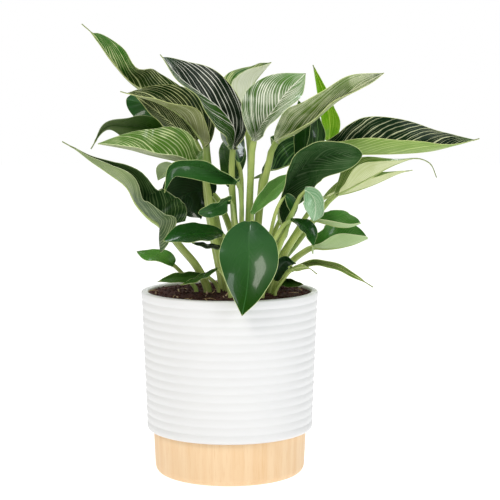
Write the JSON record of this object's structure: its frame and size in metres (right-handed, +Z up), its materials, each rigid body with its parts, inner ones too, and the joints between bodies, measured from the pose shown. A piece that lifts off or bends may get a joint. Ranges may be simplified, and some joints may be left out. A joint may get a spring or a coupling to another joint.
{
  "type": "potted birkin philodendron",
  "caption": "Birkin philodendron with white-striped dark green leaves, growing in a round ribbed white ceramic pot on a turned wooden base. Stands on any flat surface.",
  "frame": {"origin": "on the pot's axis, at the centre of the flat underside of the wooden base", "axes": "+Z up along the pot's axis, -Y towards the side the picture shows, +X to the right seen from there"},
  "size_m": [0.3805, 0.2159, 0.4184],
  "materials": {
    "white_ceramic": "matt white glaze with shallow ribs",
    "light_wood": "satin light bamboo with fine upright grain",
    "potting_soil": "loose dark brown compost",
    "striped_leaf": "glossy dark green leaf with cream pinstripes",
    "cream_leaf": "satin leaf with dense cream stripes over green",
    "green_leaf": "glossy plain dark green leaf with a thin pale margin",
    "pale_leaf": "satin pale green leaf underside",
    "lime_leaf": "young bright lime leaf, still rolled"
  },
  "bodies": {
    "root": {"pot": "white_ceramic", "wood_base": "light_wood", "soil": "potting_soil", "leaf_top_left": "striped_leaf", "leaf_upper_left": "striped_leaf", "leaf_left_under": "striped_leaf", "leaf_left_back": "green_leaf", "leaf_left_droop": "green_leaf", "leaf_left_pale": "cream_leaf", "leaf_left_shade": "green_leaf", "leaf_far_left": "green_leaf", "leaf_centre_left_arch": "green_leaf", "leaf_centre_left_small": "green_leaf", "leaf_low_left": "green_leaf", "leaf_low_left_thin": "green_leaf", "leaf_small_left": "green_leaf", "leaf_soil_left": "green_leaf", "leaf_soil_left_front": "pale_leaf", "leaf_front_heart": "green_leaf", "leaf_top_centre": "striped_leaf", "leaf_top_back": "cream_leaf", "leaf_centre_cup": "cream_leaf", "leaf_mid_green": "green_leaf", "leaf_back_centre": "green_leaf", "leaf_back_left": "green_leaf", "leaf_back_high": "striped_leaf", "leaf_back_right": "striped_leaf", "leaf_right_twist": "cream_leaf", "leaf_new_lime": "lime_leaf", "leaf_far_right": "striped_leaf", "leaf_right_thread": "pale_leaf", "leaf_right_low": "pale_leaf", "leaf_right_arch": "green_leaf", "leaf_right_hanging": "green_leaf", "leaf_right_mint": "pale_leaf", "leaf_right_small": "green_leaf", "leaf_right_pale": "pale_leaf", "leaf_right_dark": "green_leaf", "leaf_back_fold": "green_leaf", "leaf_back_striped": "striped_leaf", "leaf_low_right": "pale_leaf", "leaf_low_right_curl": "pale_leaf", "leaf_low_right_dark": "green_leaf", "leaf_soil_right": "green_leaf"}
  },
  "joints": []
}
